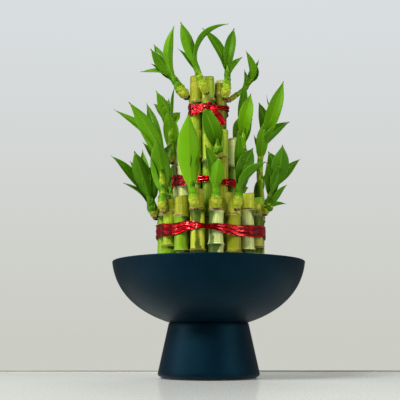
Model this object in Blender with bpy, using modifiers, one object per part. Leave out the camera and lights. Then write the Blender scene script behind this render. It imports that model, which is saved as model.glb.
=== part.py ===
"""Three-tier lucky bamboo: cane cuttings with leafy side shoots, tied by red ribbons, in a footed bowl.

Every number is in millimetres and degrees, and MM turns it into metres. +Z is up, the table is z = 0
and the front is -Y. Angles round the plant start at the front and grow towards +X.
"""

from math import cos, pi, radians, sin

import bmesh
import bpy
from mathutils import Quaternion, Vector

MM = 0.001
GAP = 0.3                    # clearance between pieces that touch
ROUND_STEPS = 48             # sides of the bowl, the foot and the pebble bed

# Bowl: its outside follows a superellipse whose centre lies above the rim
RIM_RADIUS = 74.3
RIM_HEIGHT = 87.2
CURVE_HEIGHT = 99.0
CURVE_RADIUS = 74.9
CURVE_DEPTH = 62.0
POWER_ACROSS = 1.89
POWER_DOWN = 2.52
BOWL_WALL = 2.0
LIP_HEIGHT = 1.0

# Foot and its pad
FOOT_TOP_RADIUS = 30.6
FOOT_BASE_RADIUS = 38.7
FOOT_BEVEL = 2.2
PAD_HEIGHT = 1.0

# Pebbles, and the level well in them where the canes stand
PEBBLE_LEVEL = 75.0
PEBBLE_SHOULDER = 1.5
WELL_RADIUS = 44.8
CANE_FLOOR = 52.0

# Tiers of canes: the first cane's angle, the ring's centre along X, and the heights of the nodes
TIERS = {
    "outer": dict(count=17, ring=36.5, first=5.5, centre=1.7, radius=5.4, top=135.5, nodes=(95.0, 122.0)),
    "middle": dict(count=13, ring=22.4, first=2.0, centre=-0.8, radius=4.8, top=185.0, nodes=(122.0, 163.0)),
    "inner": dict(count=6, ring=11.4, first=0.0, centre=0.0, radius=4.9, top=232.5, nodes=(173.0, 216.0)),
}
CANE_SIDES = 10
CANE_BEVEL = 0.6
TOP_VARIES = 3.5
NODE_VARIES = 3.0
NODE_SWELL = 0.5
NODE_HALF = 1.3

# Ribbons: the tier each one ties, its height, and the angle where it is twisted narrow
RIBBONS = {
    "ribbon_lower": dict(tier="outer", height=109.5, twist=2.0),
    "ribbon_middle": dict(tier="middle", height=148.5, twist=18.0),
    "ribbon_top": dict(tier="inner", height=207.5, twist=20.0),
}
RIBBON_HALF = 4.8            # half of its width where it lies flat
RIBBON_TWISTED = 1.6         # half of its width at the twist
RIBBON_THICK = 0.7
TWIST_SPREAD = 38.0          # degrees over which it widens again
KNOT_ANGLE = 6.0
KNOT_SIZE = (3.0, 1.7, 2.4)
# The tail's way down from the knot, with half its width at each point
TAIL_ROUTE = (((0.0, -0.6, 0.0), 1.2), ((3.5, -2.0, -3.5), 1.8), ((7.0, -2.8, -9.0), 2.6),
              ((10.0, -2.6, -16.5), 3.0))

# Stems and leaves
STEM_RADIUS = 2.6
STEM_TAPER = 0.2
STEM_STATIONS = 5
LEAF_THICK = 0.8
LEAF_FOLD = 0.12             # how far a leaf's edges rise over its midrib, as a share of its width
LEAF_START = 0.38            # how far a leaf follows its stem before it bends away
LEAF_STATIONS = (0.0, 0.2, 0.45, 0.7, 0.88)

# Shoots: cane and side are where a shoot starts, and stem lists its middle and its end from there.
# Each leaf is (share along the stem, reach to its tip, width, turn of its blade).
SHOOTS = {
    "shoot_top_left": dict(
        cane=("inner", -1), side=-90, height=220, stem=[(-6.5, -2.5, 10), (-12, -3.5, 18)],
        leaves=[(1.0, (3.5, -4, 38), 7, 15), (1.0, (-15, -9, 17), 9, 20), (0.95, (-14, 9, 28), 7, -20),
                (0.75, (-26, 1, 5), 6, 60)]),
    "shoot_top_front": dict(
        cane=("inner", 0), side=-15, height=220, stem=[(-5.5, -4.5, 12), (-9.5, -6, 24)],
        leaves=[(1.0, (-10, -8, 27), 9, 10), (0.8, (-14, 5, 15), 5, 40), (1.0, (27, -11, 24), 6, 50)]),
    "shoot_top_right": dict(
        cane=("inner", 1), side=25, height=218, stem=[(1.5, -2, 12), (1.5, -3, 24)],
        leaves=[(1.0, (-20, -5, 29), 8, 20), (1.0, (6, 6, 33), 8, -15), (0.85, (12, 2, 11), 5, 30)]),
    "shoot_top_far_right": dict(
        cane=("inner", 1), side=85, height=217, stem=[(11, 2, 9), (19, 4, 20)], radius=1.5,
        leaves=[(1.0, (-6, -4, 21), 6, 20), (0.95, (3, 5, 14), 8, -10)]),
    "shoot_top_back": dict(
        cane=("inner", 3), side=180, height=220, stem=[(2, 4, 5), (4, 9, 8)],
        leaves=[(1.0, (10, 12, 5), 9, 10), (1.0, (-12, 9, 3), 8, -10)]),
    "shoot_middle_right": dict(
        cane=("middle", 2), side=70, height=167, stem=[(0.5, -1.5, 12), (2, -3, 22)],
        leaves=[(1.0, (0.5, 4, 42), 7, 25), (0.9, (5.5, -4, 30), 10, 0)]),
    "shoot_middle_left": dict(
        cane=("middle", -3), side=-60, height=167, stem=[(0.8, -2.5, 18), (-0.8, -4.5, 33)],
        leaves=[(1.0, (-10, -8, 20), 9, 10), (0.95, (-13, 7, 15), 6, 0), (1.0, (4, 3, 26), 5, 60),
                (0.4, (-3, -9, 22), 9, 0)]),
    "shoot_middle_front": dict(
        cane=("middle", 1), side=-20, height=167, stem=[(-1, -2.5, 6), (-2, -4, 10)],
        leaves=[(0.6, (-9, -6, 28), 11, 0)]),
    "shoot_lower_right_tall": dict(
        cane=("outer", 5), side=100, height=126, stem=[(-3, -7, 38), (1, -12, 60)],
        leaves=[(1.0, (15, -6, 47), 11, 10), (1.0, (-4, 6, 33), 9, -20), (0.92, (21, -3, 17), 8, 25),
                (0.95, (10, 11, 27), 9, -10)]),
    "shoot_lower_left_tall": dict(
        cane=("outer", -3), side=-40, height=125, stem=[(0, 1, 20), (-1.5, 4, 40)], radius=2.6,
        leaves=[(1.0, (-38, 6, 41), 7, 30), (1.0, (-25, -4, 44), 11, 10), (0.95, (-13, 16, 51), 9, -10),
                (0.9, (8, 7, 18), 7, 20)]),
    "shoot_lower_left": dict(
        cane=("outer", -4), side=-70, height=124, stem=[(-2, -2.5, 9), (-5, -5, 16)],
        leaves=[(1.0, (-28, -6, 28), 8, 25), (1.0, (-9, -13, 30), 12, 0), (1.0, (-4, 4, 35), 7, 20),
                (0.7, (-20, -5, 11), 5, 50)]),
    "shoot_lower_front_left": dict(
        cane=("outer", -1), side=-15, height=125, stem=[(-2, -1, 12), (-3.5, -2, 23)],
        leaves=[(0.8, (-1.5, -7, 48), 14, 0), (1.0, (8, 5, 20), 6, 10)]),
    "shoot_lower_front": dict(
        cane=("outer", 0), side=5, height=125, stem=[(-1, -1, 11), (-1, -2, 19)],
        leaves=[(1.0, (-8, -1, 26), 10, 15), (0.9, (3, -6, 17), 10, 0)]),
    "shoot_lower_front_right": dict(
        cane=("outer", 1), side=20, height=125, stem=[(0.6, -1, 11), (2, -2, 20)],
        leaves=[(1.0, (-1.5, 2, 38), 7, 20), (1.0, (10, 6, 25), 11, 0), (0.9, (19, -4, 10), 8, 40)]),
    "shoot_lower_right": dict(
        cane=("outer", 3), side=75, height=125, stem=[(4, -3, 13), (8, -5, 23)],
        leaves=[(1.0, (4, -6, 27), 12, 0), (1.0, (-3, 8, 25), 8, -10), (0.95, (19, 2, 19), 7, 30),
                (0.4, (12, -6, 9), 5, 40)]),
    "shoot_lower_back_left": dict(
        cane=("outer", -7), side=-148, height=125, stem=[(-3, 3, 14), (-6, 7, 27)],
        leaves=[(1.0, (-14, 8, 30), 10, 20), (1.0, (8, 6, 33), 9, -20), (0.8, (-6, 20, 12), 8, 30)]),
    "shoot_lower_back_right": dict(
        cane=("outer", 7), side=154, height=125, stem=[(2, 3, 15), (5, 6, 29)],
        leaves=[(1.0, (13, 6, 31), 10, 10), (1.0, (-9, 5, 36), 9, -10), (0.8, (10, 18, 10), 8, 30)]),
}

# Slots: base colour, roughness, metallic
COLOURS = {
    "bowl_coat": ((0.006, 0.022, 0.030), 0.45, 0.0),
    "pad": ((0.010, 0.010, 0.011), 0.9, 0.0),
    "pebble": ((0.62, 0.59, 0.53), 0.55, 0.0),
    "cane": ((0.28, 0.42, 0.06), 0.42, 0.0),
    "leaf": ((0.09, 0.30, 0.02), 0.45, 0.0),
    "ribbon": ((0.45, 0.005, 0.02), 0.25, 0.3),
}


def clear_scene():
    for obj in list(bpy.data.objects):
        bpy.data.objects.remove(obj, do_unlink=True)


def material(slot):
    found = bpy.data.materials.get(slot)
    if found:
        return found
    colour, roughness, metallic = COLOURS[slot]
    made = bpy.data.materials.new(slot)
    made.use_nodes = True
    shader = made.node_tree.nodes["Principled BSDF"]
    shader.inputs["Base Color"].default_value = (*colour, 1.0)
    shader.inputs["Roughness"].default_value = roughness
    shader.inputs["Metallic"].default_value = metallic
    return made


def place(name, mesh, slot):
    """Puts a mesh in the plant's collection as an object of its own, shaded smooth."""
    mesh.name = name
    mesh.materials.clear()
    mesh.materials.append(material(slot))
    for face in mesh.polygons:
        face.use_smooth = True
    obj = bpy.data.objects.new(name, mesh)
    plant.objects.link(obj)
    return obj


def heading(angle):
    """The level direction at this many degrees round from the front."""
    return Vector((sin(radians(angle)), -cos(radians(angle)), 0.0))


def varied(seed, amount):
    """A repeatable, uneven value between -amount and amount."""
    return amount * sin(12.9898 * seed + 4.1)


# --- Turned pieces -------------------------------------------------------------------------------


def turned(name, profile, slot, steps, centre=(0.0, 0.0), hollow=False):
    """A solid of revolution from a profile of (radius, height) points.

    The profile runs down the outer side from axis to axis, or right round a hollow piece's wall.
    """
    points = [(radius * MM, 0.0, height * MM) for radius, height in profile]
    edges = [(i, i + 1) for i in range(len(points) - 1)]
    if hollow:
        edges.append((len(points) - 1, 0))
    mesh = bpy.data.meshes.new(name)
    mesh.from_pydata(points, edges, [])
    obj = place(name, mesh, slot)
    obj.location = (centre[0] * MM, centre[1] * MM, 0.0)
    screw = obj.modifiers.new("turn", "SCREW")
    screw.steps = screw.render_steps = steps
    screw.use_merge_vertices = True
    screw.merge_threshold = 0.00001
    screw.use_smooth_shade = True
    return obj


def bowl_height(radius, wall=0.0):
    """Height of the bowl's outside at a radius, or of its inside when given the wall."""
    share = radius / (CURVE_RADIUS - wall)
    return CURVE_HEIGHT - (CURVE_DEPTH - wall) * (1.0 - share**POWER_ACROSS) ** (1.0 / POWER_DOWN)


def inside_radius(height):
    """Radius of the bowl's inside at a height."""
    share = (CURVE_HEIGHT - height) / (CURVE_DEPTH - BOWL_WALL)
    return (CURVE_RADIUS - BOWL_WALL) * (1.0 - share**POWER_DOWN) ** (1.0 / POWER_ACROSS)


def build_bowl():
    inner_rim = inside_radius(RIM_HEIGHT)
    inside = [inner_rim * sin(radians(angle)) for angle in range(0, 91, 10)]
    outside = [RIM_RADIUS * sin(radians(angle)) for angle in range(90, -1, -9)]
    lip = [(inner_rim + 0.3, RIM_HEIGHT + 0.8 * LIP_HEIGHT),
           ((inner_rim + RIM_RADIUS) / 2, RIM_HEIGHT + LIP_HEIGHT),
           (RIM_RADIUS - 0.3, RIM_HEIGHT + 0.8 * LIP_HEIGHT)]
    profile = [(radius, bowl_height(radius, BOWL_WALL)) for radius in inside] + lip
    profile += [(radius, bowl_height(radius)) for radius in outside]
    turned("bowl", profile, "bowl_coat", ROUND_STEPS)


def build_foot():
    """A cone of sheet metal under the bowl, open at both ends, and the pad that closes its base."""
    inner_top = FOOT_TOP_RADIUS - BOWL_WALL
    pad_top = PAD_HEIGHT + GAP
    turned("pedestal_foot", [
        (FOOT_TOP_RADIUS, bowl_height(FOOT_TOP_RADIUS) - GAP),
        (FOOT_BASE_RADIUS, pad_top + FOOT_BEVEL),
        (FOOT_BASE_RADIUS - 0.3 * FOOT_BEVEL, pad_top + 0.3 * FOOT_BEVEL),
        (FOOT_BASE_RADIUS - FOOT_BEVEL, pad_top),
        (FOOT_BASE_RADIUS - 2 * FOOT_BEVEL, pad_top),
        (inner_top, bowl_height(inner_top) - GAP),
    ], "bowl_coat", ROUND_STEPS, hollow=True)
    pad_radius = FOOT_BASE_RADIUS - FOOT_BEVEL - GAP
    turned("base_pad", [(0.0, PAD_HEIGHT), (pad_radius, PAD_HEIGHT), (pad_radius, 0.0), (0.0, 0.0)],
           "pad", ROUND_STEPS)


def build_pebbles():
    """The pebble filling: it covers the bowl's floor and rises round the bundle of canes."""
    wall = BOWL_WALL + 2 * GAP
    edge = inside_radius(PEBBLE_LEVEL) - 2 * GAP
    floor = [edge * cos(radians(angle)) for angle in range(15, 91, 15)]
    bed = CANE_FLOOR - GAP
    profile = [(0.0, bed), (WELL_RADIUS, bed), (WELL_RADIUS, PEBBLE_LEVEL - PEBBLE_SHOULDER),
               (WELL_RADIUS + PEBBLE_SHOULDER, PEBBLE_LEVEL), (edge, PEBBLE_LEVEL)]
    profile += [(radius, bowl_height(radius, wall)) for radius in floor]
    turned("pebble_bed", profile, "pebble", ROUND_STEPS)


# --- Canes ---------------------------------------------------------------------------------------


def cane_centre(tier, index):
    ring = TIERS[tier]
    angle = ring["first"] + 360.0 / ring["count"] * index
    return Vector((ring["centre"], 0.0, 0.0)) + ring["ring"] * heading(angle)


def build_cane(tier, index):
    """One cutting: a straight cane that swells at each node and is cut square at both ends."""
    ring = TIERS[tier]
    radius = ring["radius"]
    seed = 3.7 * index + ring["count"]
    top = ring["top"] + varied(seed, TOP_VARIES)
    profile = [(0.0, top), (radius - CANE_BEVEL, top), (radius, top - CANE_BEVEL)]
    for node in reversed(ring["nodes"]):
        height = node + varied(seed + node, NODE_VARIES)
        profile += [(radius, height + NODE_HALF), (radius + NODE_SWELL, height), (radius, height - NODE_HALF)]
    profile += [(radius, CANE_FLOOR), (0.0, CANE_FLOOR)]
    turned(f"cane_{tier}_{index + 1:02d}", profile, "cane", CANE_SIDES, cane_centre(tier, index)[:2])


# --- Lofts and joins -----------------------------------------------------------------------------


def loft(name, rings, slot, endless=False):
    """A solid through unlike sections, closed at its ends, at a point or on itself."""
    mesh = bmesh.new()
    rows = [[mesh.verts.new(point * MM) for point in ring] for ring in rings]
    pairs = list(zip(rows, rows[1:]))
    if endless:
        pairs.append((rows[-1], rows[0]))
    else:
        for end in (rows[0], rows[-1]):
            if len(end) > 1:
                mesh.faces.new(end)
    for near, far in pairs:
        for i in range(len(near)):
            j = (i + 1) % len(near)
            corners = (near[i], near[j], far[0]) if len(far) == 1 else (near[i], near[j], far[j], far[i])
            mesh.faces.new(corners)
    bmesh.ops.recalc_face_normals(mesh, faces=mesh.faces)
    made = bpy.data.meshes.new(name)
    mesh.to_mesh(made)
    mesh.free()
    return place(name, made, slot)


def join(body, others):
    """Unites the others with the body, so that the sub-part is one closed solid.

    Leaves and stems meet at grazing angles, where the EXACT solver leaves open seams.
    """
    for other in others:
        union = body.modifiers.new("union", "BOOLEAN")
        union.operation = "UNION"
        union.solver = "MANIFOLD"
        union.object = other
    graph = bpy.context.evaluated_depsgraph_get()
    united = bpy.data.meshes.new_from_object(body.evaluated_get(graph))
    united.name = body.name
    for face in united.polygons:
        face.use_smooth = True
    body.modifiers.clear()
    body.data = united
    for other in others:
        bpy.data.objects.remove(other, do_unlink=True)


# --- Ribbons -------------------------------------------------------------------------------------


def tie_point(tier, angle, clearance):
    """Where a band pulled tight round a tier runs at this angle."""
    ring = TIERS[tier]
    out = heading(angle)
    centres = [cane_centre(tier, index) for index in range(ring["count"])]
    furthest = max(centres, key=lambda centre: centre.dot(out))
    return furthest + out * (ring["radius"] + clearance)


def build_band(name, tier, height, twist):
    rings = []
    for step in range(ROUND_STEPS):
        angle = 360.0 * step / ROUND_STEPS
        away = abs((angle - twist + 180.0) % 360.0 - 180.0)
        half = RIBBON_TWISTED + (RIBBON_HALF - RIBBON_TWISTED) * min(1.0, away / TWIST_SPREAD)
        inner = tie_point(tier, angle, GAP)
        outer = tie_point(tier, angle, GAP + RIBBON_THICK)
        corners = ((inner, half), (outer, half), (outer, -half), (inner, -half))
        rings.append([point + Vector((0.0, 0.0, height + rise)) for point, rise in corners])
    return loft(name, rings, "ribbon", endless=True)


def build_knot(centre):
    ball = bmesh.new()
    bmesh.ops.create_icosphere(ball, subdivisions=2, radius=1.0)
    for vert in ball.verts:
        size = Vector(co * axis for co, axis in zip(vert.co, KNOT_SIZE))
        vert.co = (centre + size) * MM
    mesh = bpy.data.meshes.new("knot")
    ball.to_mesh(mesh)
    ball.free()
    return place("knot", mesh, "ribbon")


def build_tail(knot_at):
    """The ribbon's free end: it hangs from the knot, a little away from the canes."""
    thick = Vector((0.0, RIBBON_THICK / 2, 0.0))
    rings = []
    for offset, half in TAIL_ROUTE:
        middle = knot_at + Vector(offset)
        across = Vector((0.85, 0.1, 0.5)).normalized() * half
        rings.append([middle - across - thick, middle + across - thick, middle + across + thick,
                      middle - across + thick])
    return loft("tail", rings, "ribbon")


def build_ribbons():
    for name, ribbon in RIBBONS.items():
        band = build_band(name, **ribbon)
        if name == "ribbon_top":
            knot_at = tie_point(ribbon["tier"], KNOT_ANGLE, KNOT_SIZE[1])
            knot_at.z = ribbon["height"]
            join(band, [build_knot(knot_at), build_tail(knot_at)])


# --- Shoots --------------------------------------------------------------------------------------


def stem_line(points, share):
    """Point and direction at a share of the way along a smooth stem through three points."""
    start, middle, end = points
    control = middle * 2.0 - (start + end) * 0.5
    point = start * (1 - share) ** 2 + control * (2 * share * (1 - share)) + end * share**2
    direction = (control - start) * (1 - share) + (end - control) * share
    return point, direction.normalized()


def build_stem(name, points, radius):
    """A tapering stem, made a mesh with its end caps welded on."""
    curve = bpy.data.curves.new(name, "CURVE")
    curve.dimensions = "3D"
    curve.bevel_depth = radius * MM
    curve.bevel_resolution = 1
    curve.use_fill_caps = True
    spline = curve.splines.new("POLY")
    spline.points.add(STEM_STATIONS - 1)
    for index, point in enumerate(spline.points):
        share = index / (STEM_STATIONS - 1)
        point.co = (*(stem_line(points, share)[0] * MM), 1.0)
        point.radius = 1.0 - STEM_TAPER * share
    tube = bpy.data.objects.new(name, curve)
    plant.objects.link(tube)
    graph = bpy.context.evaluated_depsgraph_get()
    mesh = bpy.data.meshes.new_from_object(tube.evaluated_get(graph))
    bpy.data.objects.remove(tube, do_unlink=True)
    skin = bmesh.new()
    skin.from_mesh(mesh)
    bmesh.ops.remove_doubles(skin, verts=skin.verts, dist=0.00001)
    bmesh.ops.recalc_face_normals(skin, faces=skin.faces)
    skin.to_mesh(mesh)
    skin.free()
    return place(name, mesh, "leaf")


def leaf_width(share):
    """Width of a leaf as a share of its full width, from the stem (0) to the tip (1)."""
    return sin(pi * (0.08 + 0.92 * share**1.15))


def build_leaf(base, start, reach, width, turn):
    """A leaf whose midrib leaves the stem along start and ends at base + reach.

    A turn of 0 faces its blade to the front, and one of 90 sets it edge on.
    """
    control = base + start * (reach.length * LEAF_START)
    tip = base + reach
    rings = []
    for share in LEAF_STATIONS:
        point = base * (1 - share) ** 2 + control * (2 * share * (1 - share)) + tip * share**2
        along = ((control - base) * (1 - share) + (tip - control) * share).normalized()
        front = Quaternion(along, radians(turn)) @ Vector((0.0, -1.0, 0.0))
        across = along.cross(front).normalized()
        normal = across.cross(along)
        half = across * (0.5 * width * leaf_width(share))
        lift = normal * (LEAF_FOLD * width * leaf_width(share))
        thick = normal * (0.5 * LEAF_THICK)
        rings.append([point - half + lift, point + thick, point + half + lift, point - thick])
    rings.append([tip])
    return loft("leaf", rings, "leaf")


def build_shoot(name, cane, side, height, stem, leaves, radius=STEM_RADIUS):
    """A side shoot: a stem that starts beside a cane, just over a node, with its leaves."""
    clear_of_cane = TIERS[cane[0]]["radius"] + NODE_SWELL + GAP + radius
    foot = cane_centre(*cane) + heading(side) * clear_of_cane
    foot.z = height
    points = [foot] + [foot + Vector(offset) for offset in stem]
    body = build_stem(name, points, radius)
    blades = []
    for share, reach, width, turn in leaves:
        base, along = stem_line(points, share)
        blades.append(build_leaf(base - along * LEAF_THICK / 2, along, Vector(reach), width, turn))
    join(body, blades)


clear_scene()
plant = bpy.data.collections.new("lucky_bamboo")
bpy.context.scene.collection.children.link(plant)

build_bowl()
build_foot()
build_pebbles()
for tier_name, tier_ring in TIERS.items():
    for number in range(tier_ring["count"]):
        build_cane(tier_name, number)
build_ribbons()
for shoot_name, shoot in SHOOTS.items():
    build_shoot(shoot_name, **shoot)
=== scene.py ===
"""Looks for the lucky bamboo: every CAD node is replaced by a detailed piece at the same place.

Shapes are worked out in millimetres, in the CAD's frame (+Z up, front -Y), and turned into metres
as each mesh is made. Angles round the plant start at the front and grow towards +X.
"""

from math import cos, pi, radians, sin

import bmesh
import bpy
import numpy as np
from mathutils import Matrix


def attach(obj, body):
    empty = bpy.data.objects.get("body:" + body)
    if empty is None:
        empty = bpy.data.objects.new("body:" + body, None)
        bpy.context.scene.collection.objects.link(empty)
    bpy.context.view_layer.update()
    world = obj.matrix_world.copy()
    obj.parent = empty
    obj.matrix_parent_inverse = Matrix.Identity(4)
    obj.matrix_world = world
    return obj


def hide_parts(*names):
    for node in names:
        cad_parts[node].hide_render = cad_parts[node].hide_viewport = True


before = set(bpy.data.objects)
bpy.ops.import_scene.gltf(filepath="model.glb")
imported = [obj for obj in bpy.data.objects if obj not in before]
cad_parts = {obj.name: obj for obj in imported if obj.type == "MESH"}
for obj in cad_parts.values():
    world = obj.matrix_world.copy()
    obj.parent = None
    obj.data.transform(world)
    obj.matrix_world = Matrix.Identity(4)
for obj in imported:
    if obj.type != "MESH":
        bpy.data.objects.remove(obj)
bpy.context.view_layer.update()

MM = 0.001
GAP = 0.3
UP = np.array((0.0, 0.0, 1.0))

# Sizes of the CAD model
RIM_RADIUS = 74.3
RIM_HEIGHT = 87.2
CURVE_HEIGHT = 99.0
CURVE_RADIUS = 74.9
CURVE_DEPTH = 62.0
POWER_ACROSS = 1.89
POWER_DOWN = 2.52
BOWL_WALL = 2.0
LIP_HEIGHT = 1.0
FOOT_TOP_RADIUS = 30.6
FOOT_BASE_RADIUS = 38.7
FOOT_BEVEL = 2.2
PAD_HEIGHT = 1.0
PEBBLE_LEVEL = 75.0
WELL_RADIUS = 44.8
CANE_FLOOR = 52.0

# Tiers: how many canes stand in a ring and how, and the height of most of their shoots
TIERS = {
    "outer": dict(count=17, ring=36.5, first=5.5, centre=1.7, radius=5.4, top=135.5, nodes=(95.0, 122.0),
                  shoots=125),
    "middle": dict(count=13, ring=22.4, first=2.0, centre=-0.8, radius=4.8, top=185.0, nodes=(122.0, 163.0),
                   shoots=167),
    "inner": dict(count=6, ring=11.4, first=0.0, centre=0.0, radius=4.9, top=232.5, nodes=(173.0, 216.0),
                  shoots=220),
}
TOP_VARIES = 3.5
NODE_VARIES = 3.0
NODE_SWELL = 0.5
STEM_RADIUS = 2.6
STEM_TAPER = 0.2

# Rind colours, linear
LEAFY = (0.13, 0.28, 0.004)
LIME = (0.24, 0.36, 0.012)
YELLOW = (0.21, 0.22, 0.007)
# GOLD is partly the canes' own gold and partly painted light, made brighter to lift rind that the shoots
# shade
GOLD = (0.42, 0.44, 0.030)
PALE = (0.50, 0.56, 0.22)
CREAM = (0.50, 0.53, 0.22)
OLIVE = (0.15, 0.155, 0.008)
STRAW = (0.40, 0.38, 0.070)
FOREST = (0.045, 0.10, 0.005)
DEEP = (0.014, 0.048, 0.002)

# Colours of the canes that face the front, by place in the ring, from the bottom internode up; GOLD carries
# painted light
RINDS = {
    "outer": {-4: (LEAFY, LEAFY, LIME), -3: (LEAFY, LIME, YELLOW), -2: (LIME, LEAFY, YELLOW),
              -1: (STRAW, GOLD, GOLD), 0: (PALE, PALE, YELLOW), 1: (OLIVE, YELLOW, GOLD),
              2: (CREAM, PALE, GOLD), 3: (STRAW, STRAW, GOLD)},
    "middle": {-3: (PALE, PALE, CREAM), -2: (LIME, PALE, CREAM), -1: (OLIVE, LIME, LIME),
               0: (LIME, LEAFY, LIME), 1: (YELLOW, YELLOW, LIME), 2: (LIME, FOREST, CREAM)},
    "inner": {-1: (LIME, LIME, YELLOW), 0: (LIME, LEAFY, LIME), 1: (OLIVE, OLIVE, YELLOW)},
}

# Ribbons: (angle, height, half its width) all the way round
BANDS = {
    "ribbon_lower": dict(tier="outer", pleats=2.2, drift=2.3, path=(
        (-180, 109.5, 4.6), (-110, 110.5, 4.9), (-70, 110.6, 5.0), (-52, 109.7, 4.9), (-40, 109.6, 4.5),
        (-30, 110.7, 4.1), (-22, 111.8, 3.5), (-14, 111.4, 2.3), (-6, 110.7, 1.5), (2, 109.9, 2.4),
        (11, 108.9, 3.2), (27, 107.8, 4.2), (50, 108.8, 4.5), (71, 110.2, 4.6), (120, 109.5, 4.8))),
    "ribbon_middle": dict(tier="middle", pleats=1.6, drift=-2.6, path=(
        (-180, 149.0, 4.4), (-110, 150.0, 4.7), (-75, 150.6, 4.6), (-45, 148.8, 4.3), (-22, 149.4, 3.1),
        (-9, 148.9, 2.6), (8, 147.6, 1.7), (20, 146.9, 1.6), (30, 146.7, 2.5), (42, 146.7, 3.2),
        (63, 147.6, 3.4), (100, 149.0, 4.2))),
    "ribbon_top": dict(tier="inner", pleats=1.7, drift=1.5, path=(
        (-180, 209.0, 4.6), (-110, 209.0, 4.9), (-74, 208.3, 4.9), (-45, 206.9, 4.9), (-23, 207.8, 3.6),
        (-8, 208.2, 3.0), (7, 208.3, 2.7), (23, 208.0, 2.0), (46, 208.5, 1.9), (88, 210.4, 2.4),
        (130, 209.5, 4.0))),
}
KNOT_ANGLE = 6.0
KNOT_RISE = 0.4
TAIL_ROUTE = ((0.5, -0.9, -0.5), (3.6, -2.2, -4.0), (6.9, -2.9, -9.4), (10.4, -2.4, -16.6))
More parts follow.
